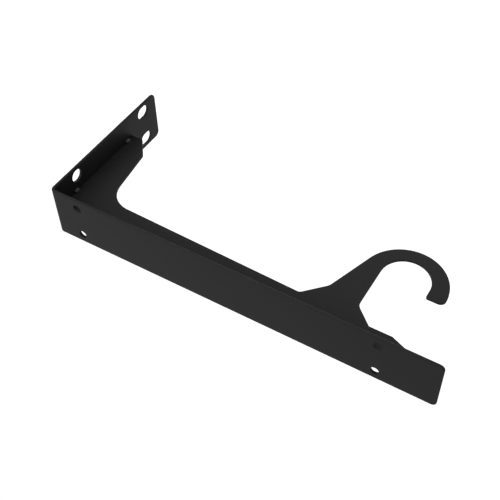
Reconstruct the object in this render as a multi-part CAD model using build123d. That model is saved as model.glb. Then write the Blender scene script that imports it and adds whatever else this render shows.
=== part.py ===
from build123d import *

import math
import os

# Closet rod bracket: a flat strip bent to an L, with a flat hook plate welded upright along its middle.
# All lengths are millimetres. +X runs from the wall along the arm, +Y across the width, +Z up.
# A reach is a distance from the wall plane, and a drop is a distance below the shelf plane.
# The origin is on the wall plane, midway between the upper two wall screws.

# Bent strip
arm_length = 285.0
leg_height = 120.0
strip_width = 40.0
strip_thickness = 2.0
bend_inner_radius = 2.0
arm_corner_radius = 3.5
leg_corner_radius = 4.5

# Screw holes in the wall leg: a round pair above, and a pair of upright slots below
leg_hole_spacing = 25.0
leg_hole_diameter = 9.8
leg_hole_drop = 25.8
leg_slot_width = 10.0
leg_slot_length = 12.4
leg_slot_to_end = 15.8

# Screw holes in the arm: a pair near the wall, and a pair near the free end
arm_hole_spacing = 25.0
arm_hole_diameter = 6.0
arm_hole_reach = 22.4
arm_hole_to_end = 40.6

# Hook plate, its brace from the wall leg along the arm
plate_thickness = 2.0
bend_clearance = 3.0
brace_corner_reach = 27.0
brace_corner_drop = 25.9
brace_corner_radius = 19.5
brace_foot_reach = 20.8
brace_foot_radius = 3.0
brace_bevel_width = 10.5
brace_bevel_height = 13.9
brace_to_leg_end = 30.5
brace_hook_drop = 21.1

# Hook plate, its tail from the hook to the arm's free end
tail_drop = 19.0
tail_flat_length = 15.7
tail_tip_height = 3.5
tail_to_arm_end = 4.5

# Hook plate, its hook and the rod that lies in it
rod_diameter = 32.0
rod_clearance = 1.5
rod_drop = 63.5
rod_to_arm_end = 50.7
hook_bottom_width = 9.1
hook_tip_width = 12.4
hook_front_radius = 28.5
hook_back_radius = 29.9
tip_inner_radius = 1.5
tip_outer_radius = 4.1
shank_root_width = 22.8
shank_root_drop = 35.4
shank_root_radius = 8.0
back_flare_width = 13.8
back_flare_radius = 3.5
front_flare_width = 12.9
front_flare_height = 11.6
front_flare_radius = 8.0

# Weld beads, the same on both sides of the hook plate
bead_length = 5.0
bead_leg = 2.5
bead_end_roundness = 0.8
leg_bead_drop = 22.0
leg_bead_to_foot_end = 7.5
arm_bead_reach = 38.0
arm_bead_to_tail_end = 12.0
arm_bead_count = 5

# Worked out from the sizes above
foot_end_drop = leg_height - brace_to_leg_end
tail_end_reach = arm_length - tail_to_arm_end
seat_reach = arm_length - rod_to_arm_end
seat_radius = (rod_diameter + rod_clearance) / 2


def bent_strip():
    """One strip of constant thickness bent to an L: the arm under the shelf and the leg on the wall."""
    middle = strip_thickness / 2
    path = FilletPolyline(
        (arm_length, -middle),
        (middle, -middle),
        (middle, -leg_height),
        radius=bend_inner_radius + middle,
    )
    side = Plane.XZ * trace(path, line_width=strip_thickness)
    strip = extrude(side, amount=strip_width / 2, both=True)
    arm_corners = strip.edges().filter_by(Axis.Z).group_by(Axis.X)[-1]
    strip = fillet(arm_corners, arm_corner_radius)
    leg_corners = strip.edges().filter_by(Axis.X).group_by(Axis.Z)[0]
    return fillet(leg_corners, leg_corner_radius)


def leg_holes():
    """The screw holes of the wall leg, drawn on the wall plane and cut through the strip."""
    pair = GridLocations(leg_hole_spacing, 0, 2, 1)
    hole = Pos(0, -leg_hole_drop) * Circle(leg_hole_diameter / 2)
    slot = Pos(0, leg_slot_to_end - leg_height) * SlotOverall(leg_slot_length, leg_slot_width, 90)
    outlines = [Plane.YZ * place * outline for place in pair for outline in (hole, slot)]
    return [extrude(outline, amount=strip_thickness) for outline in outlines]


def arm_holes():
    """The screw holes of the arm, drawn on the shelf plane and cut through the strip."""
    reaches = (arm_hole_reach, arm_length - arm_hole_to_end)
    pair = GridLocations(0, arm_hole_spacing, 1, 2)
    outlines = [Pos(reach, 0) * place * Circle(arm_hole_diameter / 2) for reach in reaches for place in pair]
    return [extrude(outline, amount=-strip_thickness) for outline in outlines]


def mounting_strip():
    """The bent strip with its eight screw holes."""
    return bent_strip() - leg_holes() - arm_holes()


def touch_point(start, centre, radius):
    """Where the line from start touches the circle, counter-clockwise of start as seen from the centre."""
    away = start - centre
    turn = math.degrees(math.acos(radius / away.length))
    return centre + away.normalized().rotate(Axis.Z, turn) * radius


def rounded(face, point, radius):
    """The face with its corner at the point rounded."""
    corner = face.vertices().sort_by_distance(point)[0]
    return fillet(corner, radius)


def plate_outline():
    """The hook plate seen from the side, as reach and minus drop, without its rounded corners."""
    clip = bend_inner_radius + bend_clearance
    shank_front = seat_reach - seat_radius
    tip_front = seat_reach + seat_radius + hook_tip_width
    hook_bottom = -rod_drop - seat_radius - hook_bottom_width
    tip_top = hook_bottom + hook_front_radius + tip_outer_radius
    shank_root = Vector(shank_front - shank_root_width, -shank_root_drop)
    bottom = Vector(tip_front - hook_front_radius, hook_bottom)
    back_centre = bottom + Vector(0, hook_back_radius)
    back_touch = touch_point(shank_root, back_centre, hook_back_radius)
    back_flare = Vector(shank_root.X - back_flare_width, -brace_hook_drop)
    brace_corner = Vector(brace_corner_reach, -brace_corner_drop)
    bevel_top = Vector(brace_foot_reach, brace_bevel_height - foot_end_drop)
    front_flare = Vector(shank_front, -tail_drop - front_flare_height)
    front_root = Vector(shank_front + front_flare_width, -tail_drop)
    tip_inner = Vector(seat_reach + seat_radius, tip_top)

    seat = JernArc((shank_front, -rod_drop), (0, -1), seat_radius, 180)
    tip = Polyline(seat @ 1, tip_inner, (tip_front - tip_outer_radius, tip_top))
    tip_round = JernArc(tip @ 1, (1, 0), tip_outer_radius, -90)
    front = JernArc(tip_round @ 1, (0, -1), hook_front_radius, -90)
    back = TangentArc(bottom, back_touch, tangent=(-1, 0))
    rest = Polyline(
        back_touch,
        shank_root,
        back_flare,
        brace_corner,
        bevel_top,
        (brace_foot_reach - brace_bevel_width, -foot_end_drop),
        (strip_thickness, -foot_end_drop),
        (strip_thickness, -strip_thickness - clip),
        (strip_thickness + clip, -strip_thickness),
        (tail_end_reach, -strip_thickness),
        (tail_end_reach, -strip_thickness - tail_tip_height),
        (front_root.X + tail_flat_length, -tail_drop),
        front_root,
        front_flare,
        seat @ 0,
    )
    face = make_face(Curve() + [seat, tip, tip_round, front, back, rest])
    face = rounded(face, tip_inner, tip_inner_radius)
    face = rounded(face, shank_root, shank_root_radius)
    face = rounded(face, back_flare, back_flare_radius)
    face = rounded(face, brace_corner, brace_corner_radius)
    face = rounded(face, bevel_top, brace_foot_radius)
    return rounded(face, front_flare, front_flare_radius)


def hook_plate():
    """One flat plate on edge: the brace in the bend, the stiffener under the arm and the rod hook."""
    return extrude(Plane.XZ * plate_outline(), amount=plate_thickness / 2, both=True)


def weld_bead():
    """One bead along the X axis: a quarter-round bar with rounded ends, its flats on the XY and XZ planes."""
    outline = Curve() + [
        CenterArc((0, 0), bead_leg, 0, 90),
        Polyline((0, bead_leg), (0, 0), (bead_leg, 0)),
    ]
    bar = extrude(Plane.YZ * make_face(outline), amount=bead_length / 2, both=True)
    return fillet(bar.edges().filter_by(GeomType.CIRCLE), bead_leg * bead_end_roundness)


def both_sides(beads):
    """The beads of the plate's +Y side, and the same on its -Y side."""
    return beads + [mirror(bead, about=Plane.XZ) for bead in beads]


def leg_weld_beads():
    """The beads that hold the hook plate to the wall leg, near the ends of that seam."""
    drops = (leg_bead_drop, foot_end_drop - leg_bead_to_foot_end)
    upright = Rot(0, 90, 0) * weld_bead()
    return both_sides([Pos(strip_thickness, plate_thickness / 2, -drop) * upright for drop in drops])


def arm_weld_beads():
    """The beads that hold the hook plate to the arm, evenly spaced along that seam."""
    last_reach = tail_end_reach - arm_bead_to_tail_end
    step = (last_reach - arm_bead_reach) / (arm_bead_count - 1)
    reaches = [arm_bead_reach + step * i for i in range(arm_bead_count)]
    hanging = Rot(-90, 0, 0) * weld_bead()
    return both_sides([Pos(reach, plate_thickness / 2, -strip_thickness) * hanging for reach in reaches])


nodes = {
    "mounting_strip": mounting_strip(),
    "hook_plate": hook_plate(),
    "leg_weld_beads": Compound(leg_weld_beads()),
    "arm_weld_beads": Compound(arm_weld_beads()),
}

os.makedirs("parts", exist_ok=True)
for name, shape in nodes.items():
    export_step(Pos(0, 0, leg_hole_drop) * shape, f"parts/{name}.step")
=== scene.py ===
import math

import bmesh
import bpy
import numpy as np
from mathutils import Matrix, Vector
from mathutils.geometry import delaunay_2d_cdt


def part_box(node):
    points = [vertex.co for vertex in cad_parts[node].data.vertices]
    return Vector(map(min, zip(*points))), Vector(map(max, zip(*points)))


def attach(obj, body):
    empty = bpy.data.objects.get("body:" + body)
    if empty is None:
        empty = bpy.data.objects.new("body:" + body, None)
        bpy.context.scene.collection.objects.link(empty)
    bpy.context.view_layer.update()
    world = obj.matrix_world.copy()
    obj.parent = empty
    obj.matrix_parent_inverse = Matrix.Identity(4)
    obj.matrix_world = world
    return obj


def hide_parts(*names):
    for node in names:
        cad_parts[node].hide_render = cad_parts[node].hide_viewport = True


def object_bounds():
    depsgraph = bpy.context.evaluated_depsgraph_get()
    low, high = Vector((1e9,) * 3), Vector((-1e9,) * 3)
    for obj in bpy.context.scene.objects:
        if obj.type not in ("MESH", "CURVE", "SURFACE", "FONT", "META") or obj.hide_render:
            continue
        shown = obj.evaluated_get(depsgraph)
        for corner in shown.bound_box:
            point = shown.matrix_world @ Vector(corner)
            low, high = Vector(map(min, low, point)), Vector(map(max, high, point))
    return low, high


# Closet rod bracket in satin black powder coat. Lengths are metres in the part's own frame:
# +X runs from the wall along the arm, +Y across the width, +Z up.
mm = 0.001

# Camera: where it stands, and the directions of the picture's right and lower sides
camera_place = (339.461 * mm, 431.170 * mm, 313.197 * mm)
camera_right = (0.8564657, -0.0177572, -0.5158984)
camera_down = (0.3759219, -0.6634578, 0.6469207)
focal_pixels = 876.04
picture_side = 500
sensor_width = 36.0
nearest_seen = 0.01
farthest_seen = 60.0

# Bent strip, with the sizes that the CAD part gives it
strip_thickness = 2.0 * mm
bend_outer_radius = 4.0 * mm
arm_corner_radius = 3.5 * mm
leg_corner_radius = 4.5 * mm
hole_spacing = 25.0 * mm
leg_hole_diameter = 9.8 * mm
leg_slot_width = 10.0 * mm
leg_slot_length = 12.4 * mm
leg_slot_to_end = 15.8 * mm
arm_hole_diameter = 6.0 * mm
arm_hole_reach = 22.4 * mm
arm_hole_to_end = 40.6 * mm
corner_steps = 12
bend_steps = 20
hole_steps = 48

# Rims of the sheet, rounded by rolling, punching and the coat
strip_rim = 0.85 * mm
hole_rim = 0.15 * mm
plate_rim = 0.30 * mm
rim_steps = 5
flat_angle = math.radians(0.4)
rim_angle = math.radians(35)
merge_gap = 0.001 * mm
same_point = 0.000001 * mm

# Weld beads, a little inside those of the CAD part
bead_length = 5.0 * mm
bead_leg = 2.48 * mm
ripple_pitch = 1.0 * mm
ripple_depth = 0.022
ripple_lag = 0.7 * mm
swell_depth = 0.04
swell_turns = 1.3
end_power = 3.0
bead_sections = 61
arc_points = 15
leg_bead_count = 2
arm_bead_count = 5
leg_bead_seed = 11
arm_bead_seed = 12

# Coat: sizes of its clouds, orange peel, grain and glossier specks, and how each works on tone and roughness
cloud_size = 26 * mm
peel_size = 2.1 * mm
grain_size = 0.42 * mm
speck_size = 0.8 * mm
fine_detail = 3.0
plain_detail = 1.0
cloud_edges = (0.3, 0.7)
speck_edges = (0.62, 0.74)
cloud_tone = 0.6
dark_warmth = -0.02
light_warmth = 0.01
cloud_roughness = 0.10
grain_roughness = 0.06
speck_gloss = 0.05
mean_roughness = (cloud_roughness + grain_roughness) / 2

# Coat on the flat sheet, and where it pooled over the weld; tones are the darkest and the lightest.
# Strip and plate carry the same coat: the plate's tones sit a little above the strip's as painted light,
# and the strip's a little below as painted shade. The beads' lighter tones are a painted highlight; their
# lower roughness and higher specular are the glossier pooled coat.
strip_tones_with_painted_shade = (0.0070, 0.0098)
plate_tones_with_painted_light = (0.0078, 0.0106)
bead_tones_with_painted_highlight = (0.010, 0.013)
flat_roughness = 0.50
flat_specular = 0.10
flat_grain_depth = 0.010 * mm
flat_peel_depth = 0.012 * mm
bead_roughness = 0.40
bead_specular = 0.20
bead_grain_depth = 0.006 * mm
bead_peel_depth = 0.010 * mm

# Surroundings
floor_gap = 0.40
floor_side = 14.0
floor_tone = 0.7
floor_glow = 0.90
ambient = 0.15

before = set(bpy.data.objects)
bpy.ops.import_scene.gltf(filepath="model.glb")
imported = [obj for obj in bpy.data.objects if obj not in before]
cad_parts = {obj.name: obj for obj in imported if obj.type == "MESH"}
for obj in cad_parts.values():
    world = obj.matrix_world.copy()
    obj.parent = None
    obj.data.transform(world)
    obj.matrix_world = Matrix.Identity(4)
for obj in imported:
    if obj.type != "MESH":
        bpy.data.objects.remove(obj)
cad_low, cad_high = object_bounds()


class Wire:
    """A shader socket used as a number: each operator adds one Math node to the socket's tree."""

    def __init__(self, socket):
        self.socket = socket

    def math(self, operation, *terms):
        tree = self.socket.id_data
        node = tree.nodes.new("ShaderNodeMath")
        node.operation = operation
        for place, term in zip(node.inputs, terms):
            plug(tree, place, term)
        return Wire(node.outputs[0])

    def __add__(self, other):
        return self.math("ADD", self, other)

    def __sub__(self, other):
        return self.math("SUBTRACT", self, other)

    def __mul__(self, other):
        return self.math("MULTIPLY", self, other)


def plug(tree, place, value):
    """Links a wire to a node's input, or writes a plain value there."""
    if isinstance(value, Wire):
        tree.links.new(value.socket, place)
    else:
        place.default_value = value


class Sheet:
    """The node tree of a material or of the world, empty to begin with."""

    def __init__(self, owner):
        owner.use_nodes = True
        self.tree = owner.node_tree
        self.tree.nodes.clear()

    def node(self, kind, settings=None, inputs=None, output=0):
        """Adds a node, sets its settings, then its inputs, and gives back one of its outputs as a wire."""
        node = self.tree.nodes.new(kind)
        for name, value in (settings or {}).items():
            setattr(node, name, value)
        for name, value in (inputs or {}).items():
            plug(self.tree, node.inputs[name], value)
        return Wire(node.outputs[output]) if node.outputs else None

    def noise(self, place, size, detail):
        """Noise from 0 to 1 with features of about that size."""
        inputs = {"Vector": place, "Scale": 1 / size, "Detail": detail}
        return self.node("ShaderNodeTexNoise", inputs=inputs, output="Fac")

    def spread(self, value, low, high):
        """The value's run from low to high spread over 0 to 1, and held there outside it."""
        inputs = {"Value": value, "From Min": low, "From Max": high}
        return self.node("ShaderNodeMapRange", inputs=inputs)


def grey(level, warmth):
    """A grey as a colour, warmer above no warmth and cooler below it."""
    return (level * (1 + warmth), level, level * (1 - warmth), 1.0)


def powder_coat(name, dark, light, roughness, specular, grain_depth, peel_depth):
    """Satin black powder coat: a cloudy tone, fine grain and the shallow waves of orange peel."""
    material = bpy.data.materials.new(name)
    sheet = Sheet(material)
    place = sheet.node("ShaderNodeTexCoord", output="Object")
    cloud = sheet.noise(place, cloud_size, fine_detail)
    grain = sheet.noise(place, grain_size, fine_detail)
    peel = sheet.noise(place, peel_size, plain_detail)
    specks = sheet.spread(sheet.noise(place, speck_size, plain_detail), *speck_edges)
    tone = sheet.spread(cloud, *cloud_edges) * cloud_tone + grain * (1 - cloud_tone)
    rough = cloud * cloud_roughness + grain * grain_roughness - specks * speck_gloss
    colour = sheet.node(
        "ShaderNodeMix",
        settings={"data_type": "RGBA"},
        inputs={0: tone, 6: grey(dark, dark_warmth), 7: grey(light, light_warmth)},
        output=2,
    )
    relief = sheet.node(
        "ShaderNodeBump",
        inputs={"Strength": 1.0, "Distance": 1.0, "Height": grain * grain_depth + peel * peel_depth},
    )
    coat = sheet.node(
        "ShaderNodeBsdfPrincipled",
        inputs={
            "Base Color": colour,
            "Roughness": rough + (roughness - mean_roughness),
            "Specular IOR Level": specular,
            "Normal": relief,
        },
    )
    sheet.node("ShaderNodeOutputMaterial", inputs={"Surface": coat})
    return material


def show(mesh, material, node):
    """Puts a mesh into the scene, smooth, with its material, in place of a CAD node."""
    mesh.polygons.foreach_set("use_smooth", np.ones(len(mesh.polygons), bool))
    mesh.materials.append(material)
    piece = bpy.data.objects.new(mesh.name, mesh)
    bpy.context.scene.collection.objects.link(piece)
    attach(piece, "root")
    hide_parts(node)
    return piece


def quarter(middle, radius, first):
    """A quarter circle of the flat pattern from the first angle on: points and outward directions."""
    angles = first + np.linspace(0, math.pi / 2, corner_steps + 1)
    out = np.stack([np.cos(angles), np.sin(angles)], axis=-1)
    return np.array(middle) + radius * out, out


def long_side(stations, y):
    """A long side of the flat pattern with a point at each station: points and outward directions."""
    points = np.stack([stations, np.full_like(stations, y)], axis=-1)
    return points, np.broadcast_to([0.0, np.sign(y)], points.shape)


def opening(middle, width, run):
    """A hole of the flat pattern, clockwise: its points, and the directions away from the metal's own side.

    It is as wide as stated across the strip and as long as stated along it. The directions point to the
    hole's middle, because that is outside the metal.
    """
    angles = -(np.arange(hole_steps) + 0.5) * 2 * math.pi / hole_steps
    out = np.stack([np.cos(angles), np.sin(angles)], axis=-1)
    shift = np.sign(out[:, :1]) * [(run - width) / 2, 0.0]
    return np.array(middle) + shift + out * width / 2, -out


def strip_outline(half, length, stations):
    """The strip's outline in the flat pattern, anticlockwise from the arm's free end."""
    arm_middle = length - arm_corner_radius
    arm_side = half - arm_corner_radius
    leg_side = half - leg_corner_radius
    sides = [
        quarter((arm_middle, arm_side), arm_corner_radius, 0.0),
        long_side(stations[::-1], half),
        quarter((leg_corner_radius, leg_side), leg_corner_radius, math.pi / 2),
        quarter((leg_corner_radius, -leg_side), leg_corner_radius, math.pi),
        long_side(stations, -half),
        quarter((arm_middle, -arm_side), arm_corner_radius, 1.5 * math.pi),
    ]
    return tuple(np.concatenate(parts) for parts in zip(*sides))


def bend_lines():
    """The level lines that cross the bend, as pairs of the outline's points, one for each station."""
    steps = np.arange(bend_steps + 1)
    side_start = corner_steps + 1
    other_start = 3 * (corner_steps + 1) + len(steps)
    return np.stack([side_start + steps, other_start + bend_steps - steps], axis=-1)


def screw_holes(upper_screws, arm_start, length):
    """The holes of the flat pattern, in pairs: place along and across, width across and length along."""
    rows = [
        (leg_slot_to_end, leg_slot_width, leg_slot_length),
        (upper_screws, leg_hole_diameter, leg_hole_diameter),
        (arm_start + arm_hole_reach, arm_hole_diameter, arm_hole_diameter),
        (length - arm_hole_to_end, arm_hole_diameter, arm_hole_diameter),
    ]
    return [(u, side * hole_spacing / 2, width, run) for u, width, run in rows for side in (1, -1)]


def rim_rings(points, out, rim):
    """The rings of one outline's rounded rim, from the outer face to the inner one: places and normals.

    A ring is the outline moved in by rim * (1 - sin a) along its outward direction N, at the depth
    rim * (1 - cos a), with the normal N * sin a + up * cos a, for angles a up to a right angle. The same is
    mirrored at the inner face.
    """
    a = np.linspace(0, math.pi / 2, rim_steps + 1)
    inset = rim * (1 - np.sin(a))
    depth = rim * (1 - np.cos(a))
    inset = np.concatenate([inset, inset[::-1]])[:, None, None]
    depth = np.concatenate([depth, strip_thickness - depth[::-1]])[:, None, None]
    sideways = np.concatenate([np.sin(a), np.sin(a)[::-1]])[:, None, None]
    upward = np.concatenate([np.cos(a), -np.cos(a)[::-1]])[:, None, None]
    ring = points - inset * out
    column = ring.shape[:2] + (1,)
    places = np.concatenate([ring, np.broadcast_to(-depth, column)], axis=2)
    normals = np.concatenate([sideways * out, np.broadcast_to(upward, column)], axis=2)
    return places, normals


def face_triangles(outlines, edges, holes):
    """The Delaunay triangles of a face of the flat pattern, without those that lie in a hole."""
    places = [Vector(place) for place in outlines.tolist()]
    _, _, faces, sources, _, _ = delaunay_2d_cdt(places, edges, [], 0, same_point)
    triangles = np.array([[sources[k][0] for k in face] for face in faces])
    middles = outlines[triangles].mean(axis=1)
    kept = np.ones(len(triangles), bool)
    for u, y, width, run in holes:
        along = np.maximum(np.abs(middles[:, 0] - u) - (run - width) / 2, 0)
        kept &= np.hypot(along, middles[:, 1] - y) > width / 2 + hole_rim
    return triangles[kept]


def bent(flat, normals, centre, leg_run, bend_run):
    """The flat pattern's places and normals after bending round the centre."""
    u, y, h = flat.T
    turn = np.clip((u - leg_run) / bend_run, 0, 1) * math.pi / 2
    up = np.stack([-np.cos(turn), 0 * turn, np.sin(turn)], axis=-1)
    ahead = np.stack([np.sin(turn), 0 * turn, np.cos(turn)], axis=-1)
    across = np.array([0.0, 1.0, 0.0])
    run = np.minimum(u - leg_run, 0) + np.maximum(u - leg_run - bend_run, 0)
    places = centre + (bend_outer_radius + h)[:, None] * up + run[:, None] * ahead + y[:, None] * across
    return places, normals[:, :1] * ahead + normals[:, 1:2] * across + normals[:, 2:] * up


def strip_piece(name, node, material):
    """The bent strip as one closed surface with rounded rims, worked out in its flat pattern and then bent.

    The flat pattern has u from the leg's free end to the arm's, y across and h up from the outer face. Each
    outline, of the strip or of a hole, is drawn once, and its rim is a stack of rings. Both faces are the
    Delaunay triangles between the rims. Bending turns u into a straight run, a quarter circle of the outer
    radius and a straight run. The frame's origin lies between the upper wall screws.
    """
    low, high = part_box(node)
    leg_run = high.z - low.z - bend_outer_radius
    bend_run = bend_outer_radius * math.pi / 2
    length = leg_run + bend_run + high.x - low.x - bend_outer_radius
    stations = leg_run + bend_run * np.linspace(0, 1, bend_steps + 1)
    holes = screw_holes(-low.z, length - (high.x - low.x), length)
    loops = [strip_outline(high.y, length, stations) + (strip_rim,)]
    loops += [opening((u, y), width, run) + (hole_rim,) for u, y, width, run in holes]

    flat, normals, quads, top, below, edges = ([] for _ in range(6))
    used = drawn = 0
    for points, out, rim in loops:
        places, tilts = rim_rings(points, out, rim)
        rings, count = places.shape[:2]
        around = np.arange(count)
        flat.append(places.reshape(-1, 3))
        normals.append(tilts.reshape(-1, 3))
        quads.append(used + tube_quads(rings, count))
        top.append(used + around)
        below.append(used + (rings - 1) * count + around)
        edges.append(drawn + np.stack([around, np.roll(around, -1)], axis=-1))
        used += rings * count
        drawn += count
    edges.append(bend_lines())
    flat, normals, quads, top, below, edges = map(np.concatenate, (flat, normals, quads, top, below, edges))

    triangles = face_triangles(flat[top, :2], edges.tolist(), holes)
    centre = np.array([low.x + bend_outer_radius, 0.0, high.z - bend_outer_radius])
    places, normals = bent(flat, normals, centre, leg_run, bend_run)
    faces = quads.tolist() + top[triangles].tolist() + below[triangles][:, ::-1].tolist()
    mesh = bpy.data.meshes.new(name)
    mesh.from_pydata(places.tolist(), [], faces)
    piece = show(mesh, material, node)
    mesh.normals_split_custom_set_from_vertices(normals.tolist())
    return piece


def bevelled_piece(name, node, rim, material):
    """A CAD node's own shape, its triangles joined, with its rims rounded by a live bevel."""
    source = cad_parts[node].data
    corners = np.empty(len(source.vertices) * 3, np.float32)
    source.vertices.foreach_get("co", corners)
    corners = corners.reshape(-1, 3)
    ends = np.empty(len(source.loops), np.int32)
    source.loops.foreach_get("vertex_index", ends)
    cells = np.round(corners / merge_gap).astype(np.int64)
    _, first, joined = np.unique(cells, axis=0, return_index=True, return_inverse=True)
    mesh = bpy.data.meshes.new(name)
    mesh.from_pydata(corners[first].tolist(), [], joined.ravel()[ends].reshape(-1, 3).tolist())
    shape = bmesh.new()
    shape.from_mesh(mesh)
    bmesh.ops.dissolve_limit(shape, angle_limit=flat_angle, verts=shape.verts, edges=shape.edges)
    shape.to_mesh(mesh)
    shape.free()
    piece = show(mesh, material, node)
    bevel = piece.modifiers.new("rounded rims", "BEVEL")
    bevel.width = rim
    bevel.segments = rim_steps
    bevel.limit_method = "ANGLE"
    bevel.angle_limit = rim_angle
    bevel.use_clamp_overlap = False
    even = piece.modifiers.new("even faces", "WEIGHTED_NORMAL")
    even.keep_sharp = False
    return piece


def bead_rings(rng):
    """One weld bead as rings of points: along its seam, away from the plate, and away from the strip.

    At a distance s along the seam and an angle a round it, the surface is at the radius
    leg * ends(s) * (1 - ripples - swell). The ends fall to nothing as a superellipse. The ripples are a
    cosine of s, held back in the middle of the arc as a bead's crescents are. The swell is a slow sine of s.
    """
    s = -0.5 * bead_length * np.cos(np.linspace(0, math.pi, bead_sections))
    a = np.linspace(0, math.pi / 2, arc_points)
    phase = rng.uniform(0, 2 * math.pi, 2)
    ends = (1 - np.abs(2 * s / bead_length) ** end_power) ** (1 / end_power)
    crest = (s[:, None] - ripple_lag * np.sin(2 * a)) / ripple_pitch
    ripples = ripple_depth * (1 + np.cos(2 * math.pi * crest + phase[0]))
    swell = swell_depth * (1 + np.sin(2 * math.pi * swell_turns * s / bead_length + phase[1]))
    radius = bead_leg * ends[:, None] * (1 - ripples - swell[:, None])
    arc = radius[:, :, None] * np.stack([np.cos(a), np.sin(a)], axis=-1)
    loop = np.concatenate([arc, np.zeros((bead_sections, 1, 2))], axis=1)
    along = np.broadcast_to(s[:, None, None], loop.shape[:2] + (1,))
    return np.concatenate([along, loop], axis=2)


def tube_quads(rings, points):
    """Faces between neighbouring rings, each ring closed on itself."""
    i, j = np.meshgrid(np.arange(rings - 1), np.arange(points), indexing="ij")
    k = (j + 1) % points
    near, far = i * points, (i + 1) * points
    return np.stack([near + j, far + j, far + k, near + k], axis=-1).reshape(-1, 4)


def facing_out(points, quads):
    """The quads turned so that the closed form's signed volume is positive."""
    a, b, c, d = (points[quads[:, k]] for k in range(4))
    volume = np.einsum("ij,ij->i", a, np.cross(b, c)) + np.einsum("ij,ij->i", a, np.cross(c, d))
    return quads if volume.sum() > 0 else quads[:, ::-1]


def bead_piece(name, node, count, seam, seed, material):
    """Beads evenly spaced over the CAD node's box, each on both sides of the hook plate.

    seam turns a bead's three distances into a place: from where its middle is along the seam, the side
    of the plate, and the rings of points.
    """
    low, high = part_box(node)
    axis = max(range(3), key=lambda k: high[k] - low[k])
    middles = np.linspace(low[axis] + bead_length / 2, high[axis] - bead_length / 2, count)
    rng = np.random.default_rng(seed)
    points, faces, used = [], [], 0
    for middle in middles:
        for side in (1, -1):
            rings = bead_rings(rng)
            places = seam(middle, side, rings).reshape(-1, 3)
            points.append(places)
            faces.append(facing_out(places - places.mean(axis=0), tube_quads(*rings.shape[:2])) + used)
            used += len(places)
    mesh = bpy.data.meshes.new(name)
    mesh.from_pydata(np.concatenate(points).tolist(), [], np.concatenate(faces).tolist())
    shape = bmesh.new()
    shape.from_mesh(mesh)
    bmesh.ops.remove_doubles(shape, verts=shape.verts, dist=merge_gap)
    shape.to_mesh(mesh)
    shape.free()
    return show(mesh, material, node)


def leg_seam(middle, side, rings):
    """The upright corner between the wall leg and the hook plate."""
    leg_face, plate_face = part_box("leg_weld_beads")[0].x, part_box("hook_plate")[1].y
    along, from_plate, from_strip = np.moveaxis(rings, -1, 0)
    return np.stack([leg_face + from_strip, side * (plate_face + from_plate), middle + along], axis=-1)


def arm_seam(middle, side, rings):
    """The level corner between the arm and the hook plate."""
    arm_face, plate_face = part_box("arm_weld_beads")[1].z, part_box("hook_plate")[1].y
    along, from_plate, from_strip = np.moveaxis(rings, -1, 0)
    return np.stack([middle + along, side * (plate_face + from_plate), arm_face - from_strip], axis=-1)


def camera():
    """The photograph's camera."""
    data = bpy.data.cameras.new("camera")
    data.sensor_width = sensor_width
    data.lens = focal_pixels * sensor_width / picture_side
    data.clip_start = nearest_seen
    data.clip_end = farthest_seen
    viewer = bpy.data.objects.new("camera", data)
    right = Vector(camera_right)
    up = -Vector(camera_down)
    turned = Matrix((right, up, right.cross(up))).transposed()
    viewer.matrix_world = Matrix.Translation(camera_place) @ turned.to_4x4()
    bpy.context.scene.collection.objects.link(viewer)
    bpy.context.scene.camera = viewer


def softbox(name, place, side, power):
    """A square lamp that looks at the bracket's middle from a place that is measured from there."""
    data = bpy.data.lights.new(name, "AREA")
    data.shape = "SQUARE"
    data.size = side
    data.energy = power
    lamp = bpy.data.objects.new(name, data)
    middle = (cad_low + cad_high) / 2
    lamp.location = middle + Vector(place)
    lamp.rotation_mode = "QUATERNION"
    lamp.rotation_quaternion = Vector(place).to_track_quat("Z", "Y")
    lamp.visible_camera = False
    bpy.context.scene.collection.objects.link(lamp)


def background_seen(sheet):
    """1 for rays that show the background: the camera's, and those by way of gloss or glass."""
    outputs = ("Is Camera Ray", "Is Glossy Ray", "Is Transmission Ray")
    camera_ray, glossy_ray, glass_ray = (sheet.node("ShaderNodeLightPath", output=name) for name in outputs)
    seen = camera_ray + glossy_ray + glass_ray
    return seen.math("MINIMUM", seen, 1.0)


def white_world():
    """A world that is seen white, and that lights the bracket faintly."""
    world = bpy.data.worlds.new("studio")
    bpy.context.scene.world = world
    sheet = Sheet(world)
    level = background_seen(sheet) * (1 - ambient) + ambient
    sky = sheet.node("ShaderNodeBackground", inputs={"Color": (1.0, 1.0, 1.0, 1.0), "Strength": level})
    sheet.node("ShaderNodeOutputWorld", inputs={"Surface": sky})


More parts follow.
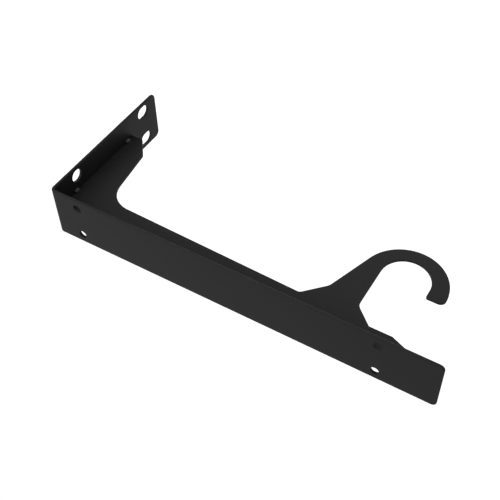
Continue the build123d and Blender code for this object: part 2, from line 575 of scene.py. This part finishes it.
def pale_floor():
    """A wide pale floor that keeps the object's shadow."""
    material = bpy.data.materials.new("pale floor")
    sheet = Sheet(material)
    matte = sheet.node("ShaderNodeBsdfDiffuse", inputs={"Color": grey(floor_tone, 0.0)})
    glow = sheet.node("ShaderNodeEmission", inputs={"Strength": background_seen(sheet) * floor_glow})
    both = sheet.node("ShaderNodeAddShader", inputs={0: matte, 1: glow})
    sheet.node("ShaderNodeOutputMaterial", inputs={"Surface": both})

    half = floor_side / 2
    height = cad_low.z - floor_gap
    corners = [(-half, -half), (half, -half), (half, half), (-half, half)]
    mesh = bpy.data.meshes.new("floor")
    mesh.from_pydata([(x, y, height) for x, y in corners], [], [(0, 1, 2, 3)])
    mesh.materials.append(material)
    floor = bpy.data.objects.new("floor", mesh)
    bpy.context.scene.collection.objects.link(floor)


flat_finish = (flat_roughness, flat_specular, flat_grain_depth, flat_peel_depth)
bead_finish = (bead_roughness, bead_specular, bead_grain_depth, bead_peel_depth)
# The plate's coat is painted a little lighter than the strip's, and the beads' lighter again as a painted
# highlight.
strip_coat = powder_coat("strip powder coat", *strip_tones_with_painted_shade, *flat_finish)
plate_coat = powder_coat("plate powder coat", *plate_tones_with_painted_light, *flat_finish)
bead_coat = powder_coat("weld bead powder coat", *bead_tones_with_painted_highlight, *bead_finish)

strip_piece("bent_strip", "mounting_strip", strip_coat)
bevelled_piece("rod_hook_plate", "hook_plate", plate_rim, plate_coat)
bead_piece("leg_beads", "leg_weld_beads", leg_bead_count, leg_seam, leg_bead_seed, bead_coat)
bead_piece("arm_beads", "arm_weld_beads", arm_bead_count, arm_seam, arm_bead_seed, bead_coat)

bpy.context.scene.view_settings.view_transform = "Standard"
camera()
white_world()
pale_floor()
softbox("side softbox", place=(0.10, 0.88, -0.04), side=0.7, power=2.6)
softbox("rim softbox", place=(-0.32, 0.48, 0.70), side=0.5, power=6.6)
softbox("wall side softbox", place=(-0.65, 0.62, 0.1), side=0.6, power=0.9)
softbox("room side softbox", place=(0.65, 0.60, 0.1), side=0.6, power=0.7)
softbox("low softbox", place=(-0.04, 0.42, -0.44), side=0.25, power=0.3)
